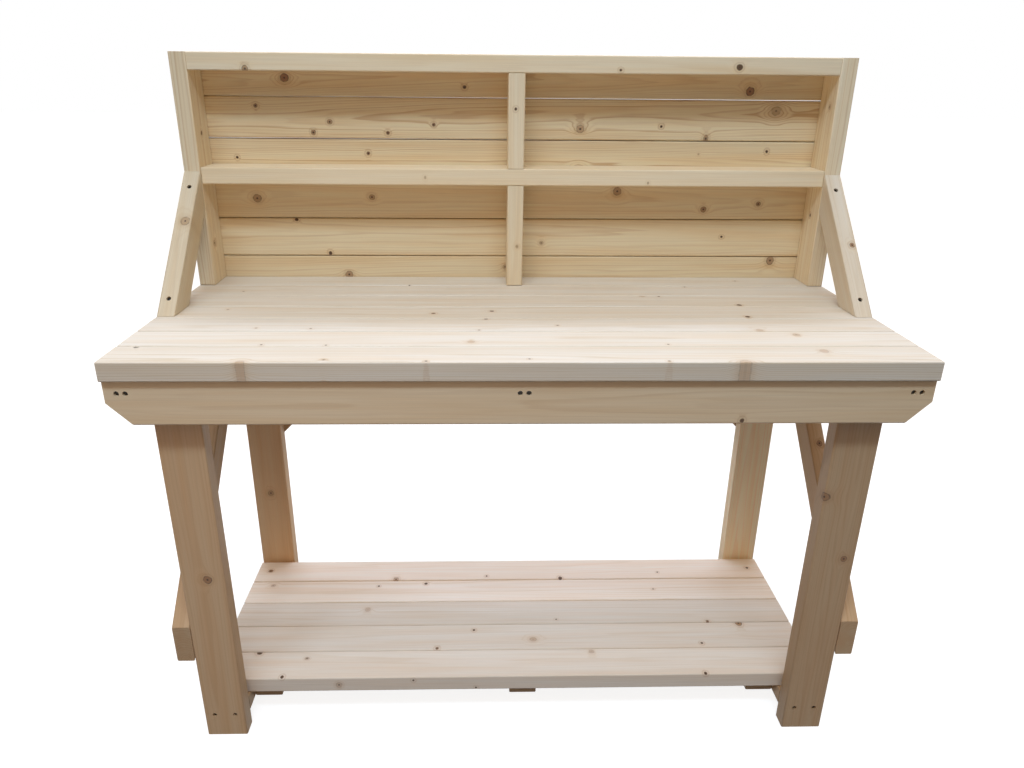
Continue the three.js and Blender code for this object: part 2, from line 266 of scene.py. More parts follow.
screw_pattern = mesh_object("screw_pattern", spun(screw_outline(), "screw"))
recess = bmesh.new()
for length, width in ((RECESS_SPAN, RECESS_SLOT), (RECESS_SLOT, RECESS_SPAN)):
    slot = bmesh.ops.create_cube(recess, size=1)
    bmesh.ops.scale(recess, vec=(length, width, 2 * RECESS_DEPTH), verts=slot["verts"])
    recess_mesh = bpy.data.meshes.new("recess")
    recess.to_mesh(recess_mesh)
    bmesh.ops.delete(recess, geom=recess.verts[:], context="VERTS")
    cut_away(screw_pattern, recess_mesh)
recess.free()
screw_mesh = screw_pattern.data
bpy.data.objects.remove(screw_pattern)
hole_bottom, hole_top = -SCREW_LENGTH - DRILL_PAST, 2 * SCREW_SINK
pilot_radius, sink_radius = THREAD_RADIUS + JOINT_GAP, HEAD_RADIUS + JOINT_GAP
hole_mesh = spun([(0, hole_bottom), (pilot_radius, hole_bottom), (pilot_radius, -HEAD_HEIGHT),
                  (sink_radius, -JOINT_GAP), (sink_radius, hole_top), (0, hole_top)], "hole")
print("A screw has", len(screw_mesh.polygons), "faces and its hole", len(hole_mesh.polygons))

# %% [markdown]
# ## Where the screws go
# A screw is a point on a surface, the direction that it is driven in, and the timbers that it passes
# through. Places come from the boxes of the timbers that it ties, with the insets that a carpenter
# would measure with a rule. The frame has nodes for the screws that show at the front; those at the
# back and the sides are added here.

# %% Screw places
low_of = {name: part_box(name)[0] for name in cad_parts}
high_of = {name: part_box(name)[1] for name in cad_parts}
screws = {}


def drive(name, point, direction, *through):
    screws[name] = (point, direction, through)


def centre_of(node):
    return (low_of[node] + high_of[node]) / 2


apron_face = low_of["front_apron"].y - JOINT_GAP / 2
worktop_top = high_of["worktop_board_1"].z
APRON_SCREW_DROP = 64 * MM
APRON_SCREW_HALF_PITCH = 8 * MM
number = 0
for bearer in ("worktop_bearer_left", "worktop_bearer_middle", "worktop_bearer_right"):
    for offset in (-APRON_SCREW_HALF_PITCH, APRON_SCREW_HALF_PITCH):
        number += 1
        across = centre_of(bearer).x + offset
        height = worktop_top - APRON_SCREW_DROP
        drive(f"apron_screw_{number}", Vector((across, apron_face, height)), Y, "front_apron", bearer)
        rear = Vector((across, high_of["rear_apron"].y, height))
        drive(f"rear_apron_screw_{number}", rear, -Y, "rear_apron", bearer)

LEG_SCREW_HALF_PITCH = 22.5 * MM
LEG_SCREW_HEIGHT = 57 * MM
number = 0
for side in ("left", "right"):
    for offset in (-LEG_SCREW_HALF_PITCH, LEG_SCREW_HALF_PITCH):
        number += 1
        bearer = f"shelf_bearer_{side}"
        across = centre_of(bearer).x + offset
        leg = f"front_leg_{side}"
        front = Vector((across, low_of[leg].y, LEG_SCREW_HEIGHT))
        drive(f"leg_screw_{number}", front, Y, leg, bearer)
        leg = f"rear_leg_{side}"
        rear = Vector((across, high_of[leg].y, LEG_SCREW_HEIGHT))
        drive(f"rear_leg_screw_{number}", rear, -Y, leg, bearer)

STRUT_SCREW_INSET = 44 * MM
rising = (Y + Z).normalized()
square_to_strut = (Y - Z).normalized()
number = 0
for side in ("left", "right"):
    strut = f"strut_{side}"
    bottom = Vector((centre_of(strut).x, low_of[strut].y, low_of[strut].z))
    face_length = (high_of[strut].y - low_of[strut].y) * math.sqrt(2)
    for along in (STRUT_SCREW_INSET, face_length - STRUT_SCREW_INSET):
        number += 1
        drive(f"strut_screw_{number}", bottom + rising * along, square_to_strut, strut)
print(len(screws), "screws so far")

# %% [markdown]
# The boards of the back panel are screwed from behind, two screws in each upright and one in each
# centre post. The rail and the middle shelf are held through the uprights, the side braces through
# their sides, and two worktop boards are screwed down from above near the left end.

# %% Screws at the back, at the sides and on top
BOARD_SCREW_INSET = 22 * MM
SUPPORT_END = 5 * MM  # no screw so close to the end of what it goes into
SIDE_SCREW_INSET = 24 * MM
BRACE_FOOT_INSET, BRACE_HEAD_INSET = 15 * MM, 18 * MM
BRACE_SCREW_REACHES = (34 * MM, 58 * MM)
WORKTOP_SCREWS = ((-722, -253, "worktop_board_1"), (-714, 27, "worktop_board_4"))
panel_back = high_of["panel_board_1"].y
number = 0
for board in sorted(name for name in timbers if name.startswith("panel_board")):
    low, high = low_of[board], high_of[board]
    for support in ("upright_left", "centre_post_upper", "centre_post_lower", "upright_right"):
        for height in (low.z + BOARD_SCREW_INSET, high.z - BOARD_SCREW_INSET):
            if low_of[support].z + SUPPORT_END < height < high_of[support].z - SUPPORT_END:
                number += 1
                place = Vector((centre_of(support).x, panel_back, height))
                drive(f"panel_screw_{number}", place, -Y, board, support)

number = 0
for side, outward in (("left", -X), ("right", X)):
    upright = f"upright_{side}"
    face = low_of[upright].x if side == "left" else high_of[upright].x
    for shelf in ("top_rail", "middle_shelf"):
        for depth in (SIDE_SCREW_INSET, WIDE - SIDE_SCREW_INSET):
            number += 1
            place = Vector((face, low_of[upright].y + depth, centre_of(shelf).z))
            drive(f"shelf_screw_{number}", place, -outward, upright, shelf)
    brace = f"side_brace_{side}"
    face = low_of[brace].x if side == "left" else high_of[brace].x
    for reach in BRACE_SCREW_REACHES:
        for place in (Vector((face, low_of[brace].y + BRACE_FOOT_INSET, low_of[brace].z + reach)),
                      Vector((face, high_of[brace].y - BRACE_HEAD_INSET, high_of[brace].z - reach))):
            number += 1
            drive(f"brace_screw_{number}", place, -outward, brace)
for number, (across, deep, board) in enumerate(WORKTOP_SCREWS, 1):
    drive(f"worktop_screw_{number}", Vector((across * MM, deep * MM, worktop_top)), -Z, board)
print(len(screws), "screws in all")

# %% [markdown]
# ## Drilling
# All the holes of one timber go into one cutter, so each timber needs a single Boolean. The cutter
# is a bmesh that takes in the hole's mesh once for each screw and turns it to the screw's direction.


# %% Turn screws and drill holes
def placed(bm, mesh, point, direction):
    """Adds a mesh whose +Z looks back along a screw's direction, with its origin sunk below the surface."""
    before = len(bm.verts)
    bm.from_mesh(mesh)
    bm.verts.ensure_lookup_table()
    turn = Z.rotation_difference(-direction).to_matrix().to_4x4()
    place = Matrix.Translation(point + direction * SCREW_SINK) @ turn
    bmesh.ops.transform(bm, matrix=place, verts=bm.verts[before:])


pieces = {}
for name, (bar, along, across, centre) in timbers.items():
    mesh = bpy.data.meshes.new(name)
    bar.to_mesh(mesh)
    bar.free()
    pieces[name] = mesh_object(f"{name}_timber", mesh)
    holes = [(point, way) for point, way, through in screws.values() if name in through]
    if holes:
        cutter = bmesh.new()
        for point, way in holes:
            placed(cutter, hole_mesh, point, way)
        cutter_mesh = bpy.data.meshes.new("holes")
        cutter.to_mesh(cutter_mesh)
        cutter.free()
        cut_away(pieces[name], cutter_mesh)
print("The drilled timbers have", sum(len(p.data.polygons) for p in pieces.values()), "faces")

# %% [markdown]
# ## Where each timber sat in its tree
# A board's figure comes from how it was sawn from the log, so each timber gets its own pith: a line
# somewhere beside the board, nearly along it, with a slight tilt. A point attribute called log gives
# every vertex its place measured from that pith. The shader draws rings around the pith and fibres
# along it, and the same rings come out on the face, the edge and the end.
#
# Knots are where branches grew. Each is a point on the timber with a radius. The mesh is divided
# halfway between one knot and the next, and each face keeps its nearest knot in face attributes, so
# one material can draw all the knots of all the boards.

# %% Knots
panel_face = low_of["panel_board_1"].y / MM
leg_face = low_of["front_leg_left"].y / MM
rear_leg_face = low_of["rear_leg_left"].y / MM
unit_face = low_of["top_rail"].y / MM
apron_front = low_of["front_apron"].y / MM
worktop_front = low_of["worktop_board_1"].y / MM
shelf_top = high_of["shelf_board_1"].z / MM
shelf_front = low_of["shelf_board_1"].y / MM
bench_top = worktop_top / MM


def on_face(depth, *seen):
    """Knots on a face that looks to the front, each as its place across and up, radius and darkness."""
    return [(millimetres(x, depth, z), radius * MM, dark) for x, z, radius, dark in seen]


def on_top(height, *seen):
    """Knots on a face that looks up, each as its place across and back, radius and darkness."""
    return [(millimetres(x, y, height), radius * MM, dark) for x, y, radius, dark in seen]


knots = {
    "panel_board_1": on_face(
        panel_face, (-535, 1382, 9.5, 0.95), (-119, 1365, 4, 1), (554, 1361, 9.5, 0.95)),
    "panel_board_2": on_face(
        panel_face, (-608, 1321, 4.5, 0.8), (-478, 1262, 5.5, 0.8), (-438, 1286, 6, 0.7),
        (-302, 1262, 4, 0.9), (-193, 1281, 4, 0.9), (156, 1274, 9, 0.6), (350, 1281, 3, 1),
        (460, 1254, 6, 0.7), (622, 1318, 11, 0.45)),
    "panel_board_3": on_face(
        panel_face, (-664, 1204, 3, 1), (-351, 1215, 4, 0.9), (156, 1178, 9, 0.5), (446, 1218, 2, 0.1),
        (612, 1225, 3, 1)),
    "panel_board_4": on_face(
        panel_face, (-627, 1108, 10, 0.7), (-348, 1112, 7, 0.7), (254, 1129, 10, 0.7),
        (472, 1086, 7, 0.8), (608, 1100, 6, 0.8)),
    "panel_board_5": on_face(
        panel_face, (-536, 1057, 4, 1), (-459, 973, 4, 1), (70, 1001, 5, 0.4), (525, 1018, 3, 1)),
    "panel_board_6": on_face(panel_face, (-416, 919, 9, 0.7), (-20, 940, 6, 0.5), (657, 958, 9, 0.75)),
    "worktop_board_1": on_top(
        bench_top, (-508, worktop_front + 1, 8, 0.15), (-362, -322, 4, 0.45),
        (-178, worktop_front + 7, 2.5, 0.8), (8, -318, 1.5, 0.9), (260, worktop_front + 7, 3, 0.5),
        (398, worktop_front + 1, 11, 0.2), (565, -275, 8, 0.1)),
    "worktop_board_2": on_top(
        bench_top, (-495, -239, 2, 0.7), (-373, -241, 2, 0.5), (-99, -221, 7, 0.12),
        (279, -236, 2, 0.5), (550, -176, 7, 0.35)),
    "worktop_board_3": on_top(
        bench_top, (-533, -135, 3, 0.35), (-423, -138, 3, 0.5), (-84, -147, 3, 0.5), (-70, -70, 4, 0.9),
        (77, -115, 3, 0.5), (486, -146, 7, 0.15)),
    "worktop_board_4": on_top(
        bench_top, (-630, -1, 3, 0.3), (-183, -30, 4.5, 0.9), (-57, -12, 4.5, 1), (492, -52, 5, 1)),
    "worktop_board_5": on_top(bench_top, (295, 113, 6, 0.2), (335, 112, 3, 0.9), (502, 39, 5.5, 1)),
    "worktop_board_6": on_top(bench_top, (-640, 150, 3, 0.4), (417, 199, 2, 0.8)),
    "worktop_board_7": on_top(bench_top, (-256, 211, 2, 0.6), (560, 260, 3, 0.4)),
    "shelf_board_1": on_top(
        shelf_top, (-608, -153, 6, 1), (-536, -233, 3.5, 1), (-492, -173, 5, 0.55), (182, -160, 6, 0.2),
        (437, -236, 3.5, 1)) + on_face(
        shelf_front, (-407, 92, 7, 0.5), (-237, 103, 2, 0.8), (-94, 80, 2, 0.8)),
    "shelf_board_2": on_top(
        shelf_top, (-188, -143, 4, 0.9), (-100, -79, 3, 1), (45, -115, 8, 0.25), (455, -134, 3, 1),
        (567, -62, 8, 0.95)),
    "shelf_board_3": on_top(shelf_top, (-374, 4, 7, 0.2), (108, -41, 2, 0.6), (491, -53, 4, 0.8)),
    "shelf_board_4": on_top(
        shelf_top, (-642, 108, 6, 0.35), (-358, 102, 3, 1), (-232, 111, 4.5, 1), (380, 80, 3, 0.4)),
    "shelf_board_5": on_top(
        shelf_top, (-665, 174, 6, 0.95), (-315, 131, 7, 0.7), (-68, 143, 2.5, 0.9), (134, 131, 5, 1),
        (407, 155, 2, 0.7), (664, 172, 4, 1)),
    "front_leg_left": on_face(leg_face, (-645, 419, 9, 0.9)),
    "front_leg_right": on_face(leg_face, (609, 607, 9, 0.8), (676, 459, 7, 0.9)),
    "rear_leg_left": on_face(rear_leg_face, (-655, 330, 8, 0.6)),
    "rear_leg_right": on_face(rear_leg_face, (650, 560, 7, 0.6)),
    "front_apron": on_face(apron_front, (408, 794, 4, 1)),
    "top_rail": on_face(unit_face, (-598, 1400, 7, 0.8), (230, 1404, 3, 0.8), (495, 1412, 7, 1)),
    "middle_shelf": on_face(unit_face, (-210, 1170, 2, 0.2), (310, 1160, 2, 0.3)),
    "centre_post_upper": on_face(unit_face, (-2, 1321, 3, 0.9)),
    "centre_post_lower": on_face(unit_face, (5, 1010, 4, 0.3)),
    "upright_left": on_face(250, (-724, 1262, 5, 0.9)) + on_face(240, (-724, 1010, 7, 0.5)),
    "upright_right": on_face(255, (724, 1080, 4, 0.9)) + on_face(240, (724, 1330, 6, 0.4)),
    "strut_left": on_face(113, (-738, 1084, 11, 0.6)),
    "strut_right": on_face(72, (752, 1044, 6, 0.9)),
    "side_brace_right": on_face(-18, (715, 603, 7, 0.8)) + on_face(49, (715, 670, 6, 0.8)),
    "side_brace_left": on_face(-120, (-715, 500, 7, 0.6)),
}
print(sum(len(found) for found in knots.values()), "knots on", len(knots), "timbers")

# %% [markdown]
# The pith of each timber is set by three numbers: how far it lay behind the timber's best face, how
# far to one side, and how much it leaned. A seeded random generator draws them within a range for
# each kind of timber. A few timbers have a place or a boldness of their own, and a brightness that is
# partly the tone of their plank and partly painted light and shade.

# %% The pith of every timber
GRAIN = random.Random(38)
PITH_SPREAD = 0.3  # of a wide timber's width, to either side
EDGE_ON = 0.3  # a face that looks less than this towards a direction is seen edge on from there

# The nearest and the farthest pith, in mm, and the greatest lean in mm per metre, for a kind of timber.
sawn_from = {
    "panel": (-46, -28, 16), "worktop": (-58, -40, 7), "shelf_board": (-52, -30, 9),
    "front_apron": (-80, -50, 5), "leg": (-40, -22, 9), "": (-62, -30, 8),
}

# Timbers whose pith lay straight under a knot, and timbers with bolder rings than the rest.
pith_beside = {"worktop_board_1": -43 * MM, "top_rail": 0, "strut_left": 0, "strut_right": 0}
bold = {"upright_left": 1.7, "upright_right": 1.2, "panel_board_2": 1.1, "panel_board_3": 1.2}

# Brightness offsets for single timbers: partly the tone of their plank, partly painted light and shade
# that lightens or darkens a timber where the light falls stronger or weaker on it.
plank_tone_and_painted_light = {
    "rear_leg_left": 0.5, "rear_leg_right": 0.32, "front_leg_left": 0.04, "front_leg_right": -0.12,
    "strut_left": -0.22, "strut_right": -0.14, "centre_post_lower": -0.08, "panel_board_1": -0.08,
    "panel_board_4": -0.06, "panel_board_6": -0.08, "shelf_board_5": 0.11, "shelf_board_4": 0.06,
    "shelf_board_3": -0.11, "shelf_board_2": -0.1,
}


def log_place(name):
    """The pith beside one timber: offsets in thickness and width, and the lean in each."""
    kind = next(key for key in sawn_from if key in name)
    near, far, lean = sawn_from[kind]
    behind = GRAIN.uniform(near, far) * MM
    beside = pith_beside.get(name, GRAIN.uniform(-PITH_SPREAD, PITH_SPREAD) * WIDE)
    tilt_thick = GRAIN.uniform(-lean, lean) * MM
    tilt_wide = GRAIN.uniform(-lean, lean) * MM
    return behind, beside, tilt_thick, tilt_wide


def to_log(points, log):
    """Turns places in the bench into places in the tree: along the pith, across, and away from it."""
    centre, along, outward, (behind, beside, tilt_thick, tilt_wide), start = log
    offset = points - np.array(centre)
    a = offset @ np.array(along)
    w = offset @ np.array(along.cross(outward))
    t = offset @ np.array(outward)
    return np.stack([a + start, w + beside + a * tilt_wide, t - behind + a * tilt_thick], axis=1)


def seen_side(name, along, across):
    """The direction that a timber's best face looks in, so that its pith lies behind that face."""
    if "strut" in name or "side_brace" in name:
        return across
    if "top_rail" in name or "centre_post" in name:
        return -Y
    outward = along.cross(across)
    lies_flat = "middle_shelf" in name or ("board" in name and "panel" not in name)
    wanted = Z if lies_flat else -Y
    if abs(outward.dot(wanted)) < EDGE_ON:
        wanted = -X if "right" in name else X
    return outward if outward.dot(wanted) > 0 else -outward


print("The worktop was sawn", [-place for place in sawn_from["worktop"][:2]], "mm from its pith")

# %% [markdown]
# Timbers that stand out of sight have small knots too. The generator places up to four on each of
# them, well apart. Then the mesh is divided between the knots, and what the material will need is
# stored on it.

# %% Grow every timber
TRUNK_REACH = 50  # metres of trunk to draw a start from, so that no two timbers share a figure
HIDDEN_KNOTS = 4
HIDDEN_RADII = (2 * MM, 4.5 * MM)
HIDDEN_DARKNESS = (0.3, 0.9)
HIDDEN_SPAN = 0.95  # of a timber's length
HIDDEN_OFFSET = 0.4  # of its thickness, to either side of its middle
KNOT_CLEARANCE = 120 * MM
KNOT_REACH = 5  # radii over which a knot bends the rings
BORDER_SHARE = 0.55  # of the way to a border, where a knot no longer bends the rings
RING_WIDTHS = (2.4 * MM, 4.4 * MM)
SHADE_SPREAD = 0.04
FIGURES = (0.45, 1)


def store(mesh, name, kind, domain, values):
    attribute = mesh.attributes.new(name, kind, domain)
    key = "vector" if kind == "FLOAT_VECTOR" else "value"
    attribute.data.foreach_set(key, np.asarray(values, np.float32).ravel())


def coordinates(mesh):
    co = np.empty(len(mesh.vertices) * 3, np.float32)
    mesh.vertices.foreach_get("co", co)
    return co.reshape(-1, 3)


def hidden_knots(ends, centre, along, outward):
    """Up to four small knots for a timber that has none of its own."""
    found = []
    for _ in range(HIDDEN_KNOTS):
        at = GRAIN.uniform(ends[0] * HIDDEN_SPAN, ends[1] * HIDDEN_SPAN)
        offset = GRAIN.uniform(-HIDDEN_OFFSET, HIDDEN_OFFSET) * THICK
        radius = GRAIN.uniform(*HIDDEN_RADII)
        place = centre + along * at + along.cross(outward) * offset + outward * THICK / 2
        if all(abs(at - other[0]) > KNOT_CLEARANCE for other in found):
            found.append((at, place, radius, GRAIN.uniform(*HIDDEN_DARKNESS)))
    return found


def divide(mesh, centre, along, borders):
    """Cuts the faces of a timber at each border between two knots, and leaves it whole."""
    body = bmesh.new()
    body.from_mesh(mesh)
    for border in borders:
        bmesh.ops.bisect_plane(body, geom=body.verts[:] + body.edges[:] + body.faces[:], dist=ONE_POINT,
                               plane_co=centre + along * border, plane_no=along)
    body.to_mesh(mesh)
    body.free()


def grow(name):
    """Divides a timber between its knots and stores where each part of it grew."""
    along, across, centre = timbers[name][1:]
    outward = seen_side(name, along, across)
    log = (centre, along, outward, log_place(name), GRAIN.uniform(0, TRUNK_REACH))
    mesh = pieces[name].data
    spread = (coordinates(mesh) - np.array(centre)) @ np.array(along)
    ends = (spread.min(), spread.max())
    found = [((place - centre).dot(along), place, radius, dark)
             for place, radius, dark in knots.get(name, [])]
    found = sorted(found or hidden_knots(ends, centre, along, outward), key=lambda knot: knot[0])
    borders = [(a[0] * b[2] + b[0] * a[2]) / (a[2] + b[2]) for a, b in zip(found, found[1:])]
    divide(mesh, centre, along, borders)

    middles = np.array([polygon.center for polygon in mesh.polygons])
    normals = np.array([polygon.normal for polygon in mesh.polygons])
    segment = np.searchsorted(borders, (middles - np.array(centre)) @ np.array(along))
    knot_places = to_log(np.array([knot[1] for knot in found]), log)
    edges = [ends[0] - 1] + borders + [ends[1] + 1]
    reaches = [min(radius * KNOT_REACH, (at - low) * BORDER_SHARE, (high - at) * BORDER_SHARE)
               for (at, _, radius, _), low, high in zip(found, edges, edges[1:])]
    store(mesh, "log", "FLOAT_VECTOR", "POINT", to_log(coordinates(mesh), log))
    store(mesh, "knot_at", "FLOAT_VECTOR", "FACE", knot_places[segment])
    store(mesh, "knot_size", "FLOAT", "FACE", np.array([knot[2] for knot in found])[segment])
    store(mesh, "knot_dark", "FLOAT", "FACE", np.array([knot[3] for knot in found])[segment])
    store(mesh, "knot_reach", "FLOAT", "FACE", np.array(reaches)[segment])
    store(mesh, "end_grain", "FLOAT", "FACE", np.abs(normals @ np.array(along)) ** 2)
    count = len(mesh.vertices)
    ring_width = GRAIN.uniform(*RING_WIDTHS)
    # The shade attribute is a random plank tone plus the listed offset, which is partly painted light and
    # shade.
    shade = GRAIN.uniform(-SHADE_SPREAD, SHADE_SPREAD) + plank_tone_and_painted_light.get(name, 0)
    figure = bold.get(name, GRAIN.uniform(*FIGURES))
    store(mesh, "ring_width", "FLOAT", "POINT", [ring_width] * count)
    store(mesh, "shade", "FLOAT", "POINT", [shade] * count)
    store(mesh, "figure", "FLOAT", "POINT", [figure] * count)


for name in timbers:
    grow(name)
print("Every timber knows its place in its tree")

# %% [markdown]
# ## Colours and nodes
# Colours are written as the hex values that a colour picker shows, and one function turns them to the
# linear values that Blender's shaders use. One helper adds a node, sets what it is told to set and
# links what it is told to link.


# %% Colour and node helpers
def linear(hex_colour):
    channels = [int(hex_colour[i:i + 2], 16) / 255 for i in (1, 3, 5)]
    return [c / 12.92 if c <= 0.04045 else ((c + 0.055) / 1.055) ** 2.4 for c in channels] + [1]


def add(tree, kind, inputs=None, out=0, **settings):
    """Adds a node and returns one of its outputs. Inputs may be values or the outputs of other nodes."""
    made = tree.nodes.new(kind)
    for key, value in settings.items():
        setattr(made, key, value)
    for socket, value in (inputs or {}).items():
        if isinstance(value, bpy.types.NodeSocket):
            tree.links.new(value, made.inputs[socket])
        else:
            made.inputs[socket].default_value = value
    return made.outputs[out]


def new_material(name):
    material = bpy.data.materials.new(name)
    material.use_nodes = True
    material.node_tree.nodes.clear()
    return material, material.node_tree


print("Spruce cream is", [round(c, 3) for c in linear("#E9D9BF")], "in linear colour")

# %% [markdown]
# ## Planed spruce
# Spruce is pale, with a silky planed face. Each year adds a wide light band and a thin darker one
# that ends sharply. Fibres run along the trunk as faint streaks. Round a knot the rings swell, the
# wood turns warmer, and a branch that died before it was grown over keeps a dark ring of bark. The
# sawn ends drink in more light and look darker. An image of wood would show the same figure on every
# board and stop at its edges, so all of this is worked out from the log attribute instead. Each thing
# that can be seen has a short function of its own, and the material puts them together.

# %% What a timber tells its material
MIX = "ShaderNodeMix"
MATH = "ShaderNodeMath"
VECTOR = "ShaderNodeVectorMath"
RANGE = "ShaderNodeMapRange"
NOISE = "ShaderNodeTexNoise"
A, B, RESULT = 6, 7, 2  # the two colour inputs of a Mix node, and its colour output
PLACES = ("log", "knot_at")
AMOUNTS = ("knot_size", "knot_dark", "knot_reach", "end_grain", "ring_width", "shade", "figure")


def read_timber(tree):
    """The attributes that a timber stores, by name."""
    told = {}
    for name in PLACES + AMOUNTS:
        out = "Vector" if name in PLACES else "Fac"
        told[name] = add(tree, "ShaderNodeAttribute", out=out, attribute_name=name)
    return told


print("A timber stores", len(PLACES + AMOUNTS), "attributes")

# %% [markdown]
# A branch is a line that starts at the pith and leaves the trunk through the knot. Distance from that
# line, not from a point, draws a round knot on the face and a long spike where the board's edge cuts
# along the branch. The line stops shortly past the knot, so it doesn't mark the opposite side.

# %% Distance from the branch
BRANCH_SQUEEZE = 0.9  # along the trunk, so that a knot is a little longer than wide
BRANCH_ENDS = (6 * MM, 16 * MM)
PAST_END = 60 * MM
RAGGED_SIZE = 9 * MM
RAGGED_LEAST, RAGGED_MOST = 0.8, 1.2


def branch_distance(tree, told):
    """Distance from the branch with a ragged outline, and nearness to it, from 0 to 1."""
    offset = add(tree, VECTOR, {0: told["log"], 1: told["knot_at"]}, operation="SUBTRACT")
    squeezed = add(tree, VECTOR, {0: offset, 1: (BRANCH_SQUEEZE, 1, 1)}, operation="MULTIPLY")
    outward = add(tree, VECTOR, {0: told["knot_at"], 1: (0, 1, 1)}, operation="MULTIPLY")
    branch = add(tree, VECTOR, {0: outward}, operation="NORMALIZE")
    across = add(tree, VECTOR, {0: squeezed, 1: branch}, operation="CROSS_PRODUCT")
    from_line = add(tree, VECTOR, {0: across}, out="Value", operation="LENGTH")
    past_end = add(tree, VECTOR, {0: offset, 1: branch}, out="Value", operation="DOT_PRODUCT")
    past_end = add(tree, RANGE, {0: past_end, 1: BRANCH_ENDS[0], 2: BRANCH_ENDS[1], 3: 0, 4: PAST_END})
    smooth_distance = add(tree, MATH, {0: from_line, 1: past_end}, operation="ADD")
    near = add(tree, RANGE, {0: smooth_distance, 1: 0, 2: told["knot_reach"], 3: 1, 4: 0},
               interpolation_type="SMOOTHSTEP")
    near = add(tree, MATH, {0: near, 1: 2}, operation="POWER")
    ragged = add(tree, NOISE, {"Vector": told["log"], "Scale": 1 / RAGGED_SIZE, "Detail": 2})
    ragged = add(tree, RANGE, {0: ragged, 3: RAGGED_LEAST, 4: RAGGED_MOST})
    distance = add(tree, MATH, {0: smooth_distance, 1: ragged}, operation="MULTIPLY")
    return distance, near


print("A branch ends", BRANCH_ENDS[1] / MM, "mm past its knot")

# %% [markdown]
# Rings are bands of equal distance from the pith. A slow noise lets them wander, as a trunk is never
# straight, and they swell outwards round a knot. Years differ in strength, which a white noise on the
# number of the year gives. Late wood darkens slowly and ends sharply when the winter comes.

# %% Year rings
DRIFT_WIDTH = 38 * MM
DRIFT_LENGTH = 700 * MM
WANDER = 9 * MM
KNOT_SWELL = -0.9
LATE_WOOD_STARTS, LATE_WOOD_FULL, WINTER_STARTS = 0.35, 0.9, 0.86  # shares of a year
FAINTEST_YEAR = 0.25


def year_rings(tree, told, slow, near):
    """How much dark late wood there is, from 0 to 1. Slow is the log's place, scaled for slow changes."""
    wander = add(tree, NOISE, {"Vector": slow, "Scale": 1, "Detail": 3, "Roughness": 0.45})
    wander = add(tree, RANGE, {0: wander, 1: 0.25, 2: 0.75, 3: -WANDER / 2, 4: WANDER / 2}, clamp=False)
    from_pith = add(tree, VECTOR, {0: told["log"], 1: (0, 1, 1)}, operation="MULTIPLY")
    from_pith = add(tree, VECTOR, {0: from_pith}, out="Value", operation="LENGTH")
    swell = add(tree, MATH, {0: near, 1: told["knot_size"]}, operation="MULTIPLY")
    radius = add(tree, MATH, {0: swell, 1: KNOT_SWELL, 2: from_pith}, operation="MULTIPLY_ADD")
    radius = add(tree, MATH, {0: radius, 1: wander}, operation="ADD")
    years = add(tree, MATH, {0: radius, 1: told["ring_width"]}, operation="DIVIDE")
    season = add(tree, MATH, {0: years}, operation="FRACT")
    year = add(tree, MATH, {0: years}, operation="FLOOR")
    strength = add(tree, "ShaderNodeTexWhiteNoise", {"W": year}, out="Value", noise_dimensions="1D")
    strength = add(tree, RANGE, {0: strength, 3: FAINTEST_YEAR, 4: 1})
    darkening = add(tree, RANGE, {0: season, 1: LATE_WOOD_STARTS, 2: LATE_WOOD_FULL, 3: 0, 4: 1},
                    interpolation_type="SMOOTHSTEP")
    ending = add(tree, RANGE, {0: season, 1: WINTER_STARTS, 2: 1, 3: 1, 4: 0},
                 interpolation_type="SMOOTHSTEP")
    late_wood = add(tree, MATH, {0: darkening, 1: ending}, operation="MULTIPLY")
    late_wood = add(tree, MATH, {0: late_wood, 1: strength}, operation="MULTIPLY")
    return add(tree, MATH, {0: late_wood, 1: told["figure"]}, operation="MULTIPLY")


print("Rings wander by", WANDER / MM, "mm")

# %% [markdown]
# Between the rings the eye sees two more things: fine fibres along the trunk, and slow warm clouds
# where the sap left more colour. Both are noises on the log's place, stretched along the trunk.

# %% Clear wood
FIBRE_WIDTH = 1.2 * MM  # true fibres are far finer; this is as fine as the eye sees from a few steps away
FIBRE_LENGTH = 160 * MM
FIBRE_CONTRAST = 0.05
CLOUD_SCALE = 1.7
CLOUD_SHARE = 0.38
KNOT_WARMTH = 0.2
END_GRAIN_SHADE = -0.22


def fibre_streaks(tree, told):
    fine = add(tree, VECTOR, {0: told["log"], 1: (1 / FIBRE_LENGTH, 1 / FIBRE_WIDTH, 1 / FIBRE_WIDTH)},
               operation="MULTIPLY")
    streak = add(tree, NOISE, {"Vector": fine, "Scale": 1, "Detail": 4, "Roughness": 0.6})
    return add(tree, RANGE, {0: streak, 1: 0.3, 2: 0.7, 3: -1, 4: 1})


